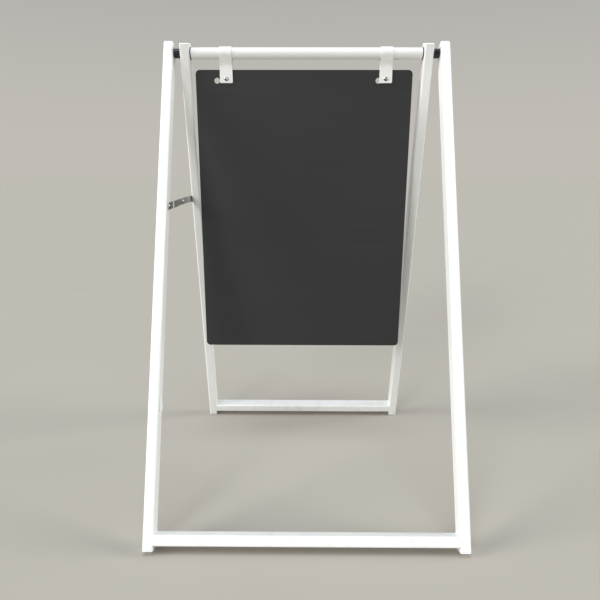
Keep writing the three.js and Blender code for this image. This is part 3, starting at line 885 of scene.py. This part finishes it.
def make_link(name, pivot, towards, end_x, knee_x, step, length, body):
    """A link from its leg pivot towards the knee: length along the strip, width up, thickness in X."""
    table = strip_table(lambda inset: stadium(length, link_width / 2, inset), link_width / 2,
                        link_thickness, 0.0004)
    along, across, thick = np.moveaxis(table, -1, 0)
    x = thick + end_x + (knee_x - end_x) * smooth_step(along, *step)
    upward = np.array([-towards[1], towards[0]])
    flat = pivot + along[..., None] * towards + across[..., None] * upward
    table = np.concatenate([x[..., None], flat], axis=-1)
    mesh = closed_mesh(name, [table])
    return add_piece(name + "_strip", mesh, body, "zinc_steel", zinc, name)


front_pivot = np.array(joints["front_link_fold"]["pos_m"])[1:]
rear_pivot = np.array(joints["rear_link_fold"]["pos_m"])[1:]
span = np.linalg.norm(rear_pivot - front_pivot)
stay_line = (rear_pivot - front_pivot) / span
radii = np.linalg.norm(front_pivot - hinge[1:]), np.linalg.norm(rear_pivot - hinge[1:])
front_length = (span + radii[0] - radii[1]) / 2
rear_length = span - front_length

front_link_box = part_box("stay_front_link")
rear_link_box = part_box("stay_rear_link")
front_end_x = front_link_box[0][0] + link_thickness / 2
front_knee_x = front_link_box[1][0] - link_thickness / 2
rear_knee_x = rear_link_box[0][0] + link_thickness / 2
rear_end_x = rear_link_box[1][0] - link_thickness / 2

make_link("stay_front_link", front_pivot, stay_line, front_end_x, front_knee_x,
          front_step, front_length, "front_link")
make_link("stay_rear_link", rear_pivot, -stay_line, rear_end_x, rear_knee_x,
          rear_step, rear_length, "rear_link")
print(f"made 2 links, {front_length:.4f} and {rear_length:.4f} m between rivets")

# %% [markdown]
# ## Rivets
#
# Each rivet is a shank with a domed head. The dome is a flattened ball with a soft rim, and it stands
# out from the strip by a little more than the strip's own thickness.

# %% Rivets
rivet_shank = 0.0022
dome_height = 0.0026
back_height = 0.0016


def rivet_profile(shank, head, height, depth):
    """Up the shank, out under the head, round the rim and over the dome to the axis."""
    angle = np.linspace(0.22, math.pi / 2, 14)
    dome = np.column_stack([head * np.cos(angle), height * np.sin(angle)])
    under = [(0, -depth), (shank - 0.0003, -depth), (shank, -depth + 0.0003), (shank, 0)]
    rim = [(head * 0.93, 0), (head * 0.995, height * 0.09)]
    dome[-1, 0] = 0
    return np.vstack([under, rim, dome])


def make_rivet(name, head_end, body):
    """A rivet along X where its CAD node is; head_end is the side, -x or +x, that its dome faces."""
    low, high = box_corners(name)
    head = (high[2] - low[2]) / 2
    tall = back_height if name.endswith("back") else dome_height
    depth = high[0] - low[0] - tall
    x = high[0] - tall if head_end == "+x" else low[0] + tall
    middle = (low + high) / 2
    table = turned(rivet_profile(rivet_shank, head, tall, depth), 56)
    mesh = closed_mesh(name, [aimed(table, head_end, (x, middle[1], middle[2]))])
    return add_piece(name + "_domed", mesh, body, "dark_steel", rivet_steel, name)


make_rivet("stay_front_rivet", "+x", "front_frame")
make_rivet("stay_rear_rivet", "-x", "rear_frame")
make_rivet("stay_knee_rivet_head", "+x", "rear_link")
make_rivet("stay_knee_rivet_back", "-x", "front_link")
print("made 4 rivets")

# %% [markdown]
# ## The catch pad
#
# A small white pad on the inside of the front left leg ramps up from its top end and stops in a step.
# It is a five-sided outline pushed through its width, with a Bevel modifier to soften every edge.

# %% Catch pad
def catch_points():
    """The pad's side outline, (x, z) from the leg's face, swept to its two sides."""
    low, high = box_corners("fold_catch")
    foot = low[0]
    proud = high[0] - low[0]
    half_length, half_width, reach, toe = 0.012, 0.008, 0.732, 0.0006
    outline = np.array([
        (0, -half_length), (proud, -half_length + 0.001), (proud, -half_length / 5),
        (toe, half_length), (0, half_length),
    ])
    sides = []
    for side in (-half_width, half_width):
        sides.append(np.column_stack([
            outline[:, 0] + foot, np.full(len(outline), side), outline[:, 1] - reach]))
    return np.array(sides)


catch_rows = leaned(catch_points(), front_turn)
corners = catch_rows.shape[1]
catch_faces = grid_faces(2, corners, False).tolist()
catch_faces += [list(range(corners)), list(range(corners, 2 * corners))[::-1]]
catch_mesh = bpy.data.meshes.new("fold_catch")
catch_mesh.from_pydata(catch_rows.reshape(-1, 3), [], catch_faces)
tidy = bmesh.new()
tidy.from_mesh(catch_mesh)
bmesh.ops.recalc_face_normals(tidy, faces=tidy.faces)
tidy.to_mesh(catch_mesh)
tidy.free()
catch_mesh.shade_smooth()
catch = add_piece("fold_catch_pad", catch_mesh, "front_frame", "white_plastic", white_plastic, "fold_catch")
soften = catch.modifiers.new("soften", "BEVEL")
soften.width = 0.0004
soften.segments = 3
catch.modifiers.move(1, 0)
print("made the catch pad")

# %% [markdown]
# ## The panel
#
# The panel is a flat sheet with round corners. Loops drawn in from the outline give the rounded edge,
# and the two faces close in the middle. Its two open holes are cut with a tool that flares at both ends,
# so their rims are slightly broken like the sheet's own edge. A strap covers the right hole's edge, so
# the opening that the frame states there is off centre, and the hole's middle is measured from its left.

# %% Panel
panel_low, panel_high = box_corners("sign_panel")
panel_middle = (panel_low + panel_high) / 2
panel_size = panel_high - panel_low
panel_corner = 0.009
hole_radius = 0.006
flare_width = 0.0014
flare_depth = 0.0004
right_hole_reach = 0.005


def panel_table():
    """Rows from the middle of the front face, over the edge, to the middle of the back face."""
    edge = 0.0006
    inset, rise = edge_rounding(edge)
    half = panel_size[1] / 2
    plan = [(edge + 0.0006, half)]
    plan += [(shift, half - step) for shift, step in zip(inset, rise)]
    plan += [(shift, -height) for shift, height in reversed(plan)]
    rows = []
    for shift, height in plan:
        rows.append(lifted(rounded_rectangle(panel_size[0], panel_size[2], panel_corner, shift), height))
    middle = np.zeros_like(rows[0])
    return np.array([middle + (0, 0, half), *rows, middle - (0, 0, half)])


across, upright, through = np.moveaxis(panel_table(), -1, 0)
panel_points = np.stack([across, through, upright], axis=-1) + panel_middle
panel = add_piece("sign_panel_sheet", closed_mesh("sign_panel", [panel_points]), "sign",
                  "black_board", black_board, "sign_panel")

for opening in record["physics"]["openings"]:
    low, high = np.array(opening["box_m"])
    hole_x = (low[0] + high[0]) / 2
    if opening["name"].endswith("right"):
        hole_x = low[0] + right_hole_reach
    hole_z = (low[2] + high[2]) / 2
    half = panel_size[1] / 2
    out = half + 0.001
    flare = [(0, -out), (hole_radius + flare_width, -out), (hole_radius, -half + flare_depth)]
    flare += [(hole_radius, half - flare_depth), (hole_radius + flare_width, out), (0, out)]
    place = (hole_x, panel_middle[1], hole_z)
    carve(panel, closed_mesh("drill", [aimed(turned(flare, 64), "+y", place)]))
print("panel", panel_size.round(4), "with", len(record["physics"]["openings"]), "open holes")

# %% [markdown]
# ## Hanger straps
#
# Each strap is one strip of sheet metal. It comes up behind the panel, goes round the bar and comes
# down in front, and one screw pinches both ends on the panel. The strip is drawn flat, with its length
# along the path, then every point is carried to the path: the path gives the place and the direction,
# and the strip's thickness goes along the path's normal. The loop narrows a little towards the bar.

# %% Strap path
strap_thickness = 0.0015
bar_radius = 0.0118
loop_radius = bar_radius + 0.0003 + strap_thickness / 2
tab_y = panel_size[1] / 2 + 0.0003 + strap_thickness / 2
pinch_drop = 0.0225
pinch_bend = 0.0022
strap_width = 0.0258
strap_corner = 0.002
run_points = 170
strap_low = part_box("hanger_strap_left")[0][2] - hinge[2]


def strap_path():
    """Middle line of the strap in (y, z) about the bar: tab, pinch, tangent, round the bar and back."""
    towards_pinch = math.atan2(-pinch_drop, tab_y)
    leave = towards_pinch + math.acos(loop_radius / math.hypot(tab_y, pinch_drop))
    angle = np.linspace(leave, math.pi - leave, 80)
    loop = loop_radius * np.column_stack([np.cos(angle), np.sin(angle)])
    tab = soft_profile([(tab_y, strap_low), (tab_y, -pinch_drop), loop[0]], pinch_bend, steps=9)
    return np.concatenate([tab[:-1], loop, tab[-2::-1] * (-1, 1)])


path = strap_path()
path_length = np.concatenate([[0], np.cumsum(np.linalg.norm(np.diff(path, axis=0), axis=1))])
print(f"a strap is cut {path_length[-1] * 1000:.0f} mm long")

# %% Straps
def strip_outline(length, width, corner, inset):
    """A long rectangle with small round corners, drawn inset, its length along X from 0."""
    radius = max(corner - inset, 0.0)
    half = max(width / 2 - inset, 0.0)
    start = min(inset, width / 2)
    run = np.linspace(start + radius, length - start - radius, run_points)
    angle = np.linspace(0, math.pi / 2, 5)[1:]
    turn_in = np.sin(angle) * radius
    turn_up = (1 - np.cos(angle)) * radius
    reach = half - radius
    right = np.column_stack([run, np.full(run_points, -half)])
    far = np.column_stack([run[-1] + turn_in, -half + turn_up])
    end = np.column_stack([np.full(5, run[-1] + radius), np.linspace(-reach, reach, 7)[1:-1]])
    far_up = np.column_stack([run[-1] + turn_in[::-1], half - turn_up[::-1]])
    left = np.column_stack([run[::-1], np.full(run_points, half)])
    mirror = np.concatenate([far, end, far_up])[::-1] * (-1, 1) + (length, 0)
    return np.concatenate([right, far, end, far_up, left, mirror])


def carried(table, x):
    """A flat table carried along the strap's path: length to path, width to X, thickness to normal."""
    along, across, thick = np.moveaxis(table, -1, 0)
    direction = np.gradient(path, path_length, axis=0)
    direction /= np.linalg.norm(direction, axis=1, keepdims=True)
    place = [np.interp(along, path_length, path[:, axis]) for axis in (0, 1)]
    lean = [np.interp(along, path_length, direction[:, axis]) for axis in (0, 1)]
    y = place[0] + lean[1] * thick
    z = place[1] - lean[0] * thick
    narrowing = 1 + 0.06 * smooth_step(-z, 0.005, 0.050)
    return np.stack([x + across * narrowing, y + hinge[1], z + hinge[2]], axis=-1)


for side in ("left", "right"):
    name = f"hanger_strap_{side}"
    low, high = box_corners(name)
    table = strip_table(lambda inset: strip_outline(path_length[-1], strap_width, strap_corner, inset),
                        strap_width / 2, strap_thickness, 0.0005)
    mesh = closed_mesh(name, [carried(table, (low[0] + high[0]) / 2)])
    add_piece(name + "_sheet", mesh, "sign", "white_paint", white_paint, name)
print("made 2 straps")

# %% [markdown]
# ## Screws and nuts of the hangers
#
# A button-head screw goes through both tabs and the panel, with a hexagon socket in its dome, and a
# plain hexagon nut with broken corners holds it behind.

# %% Hanger screws and nuts
for side in ("left", "right"):
    screw_name = f"hanger_screw_{side}"
    low, high = box_corners(screw_name)
    middle = (low + high) / 2
    head, tall, socket, dome_end = 0.0048, 0.0027, 0.0017, 1.05
    depth = high[1] - low[1] - tall
    angle = np.linspace(0.15, dome_end, 9)
    profile = [(0, -depth), (0.0022, -depth), (0.0025, -depth + 0.0004), (0.0025, 0), (head * 0.95, 0)]
    profile += list(zip(head * np.cos(angle), tall * np.sin(angle) / math.sin(dome_end)))
    round_rows = len(profile)
    profile += [(socket + 0.0001, tall - 0.0002), (socket, tall - 0.0012), (0, tall - 0.0018)]
    share = hexagon_after(round_rows, len(profile))
    table = aimed(turned(profile, 72, share), "-y", (middle[0], low[1] + tall, middle[2]))
    add_piece(screw_name + "_turned", closed_mesh(screw_name, [table]), "sign", "dark_steel",
              rivet_steel, screw_name)

    nut_name = f"hanger_nut_{side}"
    low, high = box_corners(nut_name)
    middle = (low + high) / 2
    across_corners = 0.0046
    section = [(0.0026, low[1]), (across_corners * 0.86, low[1]), (across_corners, low[1] + 0.0006)]
    section += [(across_corners, high[1] - 0.0006), (across_corners * 0.86, high[1]), (0.0026, high[1])]
    share = np.array([0.0, 0.0, 1.0, 1.0, 0.0, 0.0])
    table = aimed(turned(section, 72, share), "+y", (middle[0], 0, middle[2]))
    add_piece(nut_name + "_hex", closed_mesh(nut_name, [table], close_rows=True), "sign", "zinc_steel",
              bolt_steel, nut_name)
print("made 2 screws and 2 nuts")

# %% [markdown]
# ## Floor and light
#
# A plain pale floor and soft light, as in a light tent: a broad bright side on the left, a weaker one on
# the right, a little from low in front and a little from overhead. The lamps are suns with a wide
# angle, so the floor is lit the same everywhere. The rest comes from a dome. Its horizon has the floor's
# own tone, so no hard line shows where the floor ends, and it is slightly warm, like the light that
# reaches the rear frame in the board's own shade. The lamp overhead is cooler, which gives the upward
# faces and the front legs their blue-white.

# %% Floor
def floor_finish():
    """Pale warm grey with a hardly visible unevenness."""
    finish = Finish("pale floor", (0.412, 0.374, 0.330), roughness=0.85)
    finish.set("Specular IOR Level", 0.1)
    base = finish.mix(finish.noise(3.0, detail=3.0), (0.402, 0.364, 0.320), (0.422, 0.384, 0.340))
    finish.set("Base Color", base)
    return finish.material


floor_reach = 30.0
floor_corners = [(-1, -1), (1, -1), (1, 1), (-1, 1)]
floor_mesh = bpy.data.meshes.new("floor")
floor_mesh.from_pydata([(floor_reach * x, floor_reach * y, 0) for x, y in floor_corners], [], [(0, 1, 2, 3)])
floor_mesh.materials.append(floor_finish())
floor = bpy.data.objects.new("floor", floor_mesh)
bpy.context.collection.objects.link(floor)


# %% Lamps
def add_lamp(name, elevation, to_left, width, strength, colour):
    """A sun: the angles say where it stands as seen from the board, width is how wide it looks."""
    elevation = math.radians(elevation)
    to_left = math.radians(to_left)
    direction = Vector((
        -math.sin(to_left) * math.cos(elevation),
        -math.cos(to_left) * math.cos(elevation),
        math.sin(elevation),
    ))
    data = bpy.data.lights.new(name, "SUN")
    data.angle = math.radians(width)
    data.energy = strength
    data.color = colour
    lamp = bpy.data.objects.new(name, data)
    lamp.location = direction * 3.0
    lamp.rotation_euler = direction.to_track_quat("Z", "Y").to_euler()
    bpy.context.collection.objects.link(lamp)


add_lamp("left side", elevation=25, to_left=75, width=28, strength=2.2, colour=(0.98, 1.0, 1.0))
add_lamp("right side", elevation=25, to_left=-90, width=28, strength=1.8, colour=(0.98, 1.0, 1.0))
add_lamp("front", elevation=22, to_left=29, width=18, strength=1.0, colour=(0.96, 0.99, 1.0))
add_lamp("overhead", elevation=76, to_left=10, width=30, strength=1.25, colour=(0.84, 0.96, 1.0))


# %% Dome
def make_dome(horizon, zenith, strength):
    """Light from every side: the horizon's colour turning smoothly into the colour overhead."""
    world = bpy.data.worlds.new("dome")
    world.use_nodes = True
    network = Network(world.node_tree)
    coordinates = network.node("ShaderNodeTexCoord", output="Generated")
    upward = network.node("ShaderNodeSeparateXYZ", None, {0: coordinates}, output="Z")
    background = world.node_tree.nodes["Background"]
    network.feed(background.inputs["Color"], network.mix(upward.above(0.0, 0.75), horizon, zenith))
    background.inputs["Strength"].default_value = strength
    return world


bpy.context.scene.world = make_dome(horizon=(0.532, 0.510, 0.466), zenith=(0.25, 0.27, 0.30), strength=1.0)
bpy.context.scene.view_settings.view_transform = "Standard"
print("lit by four soft lamps and a dome")
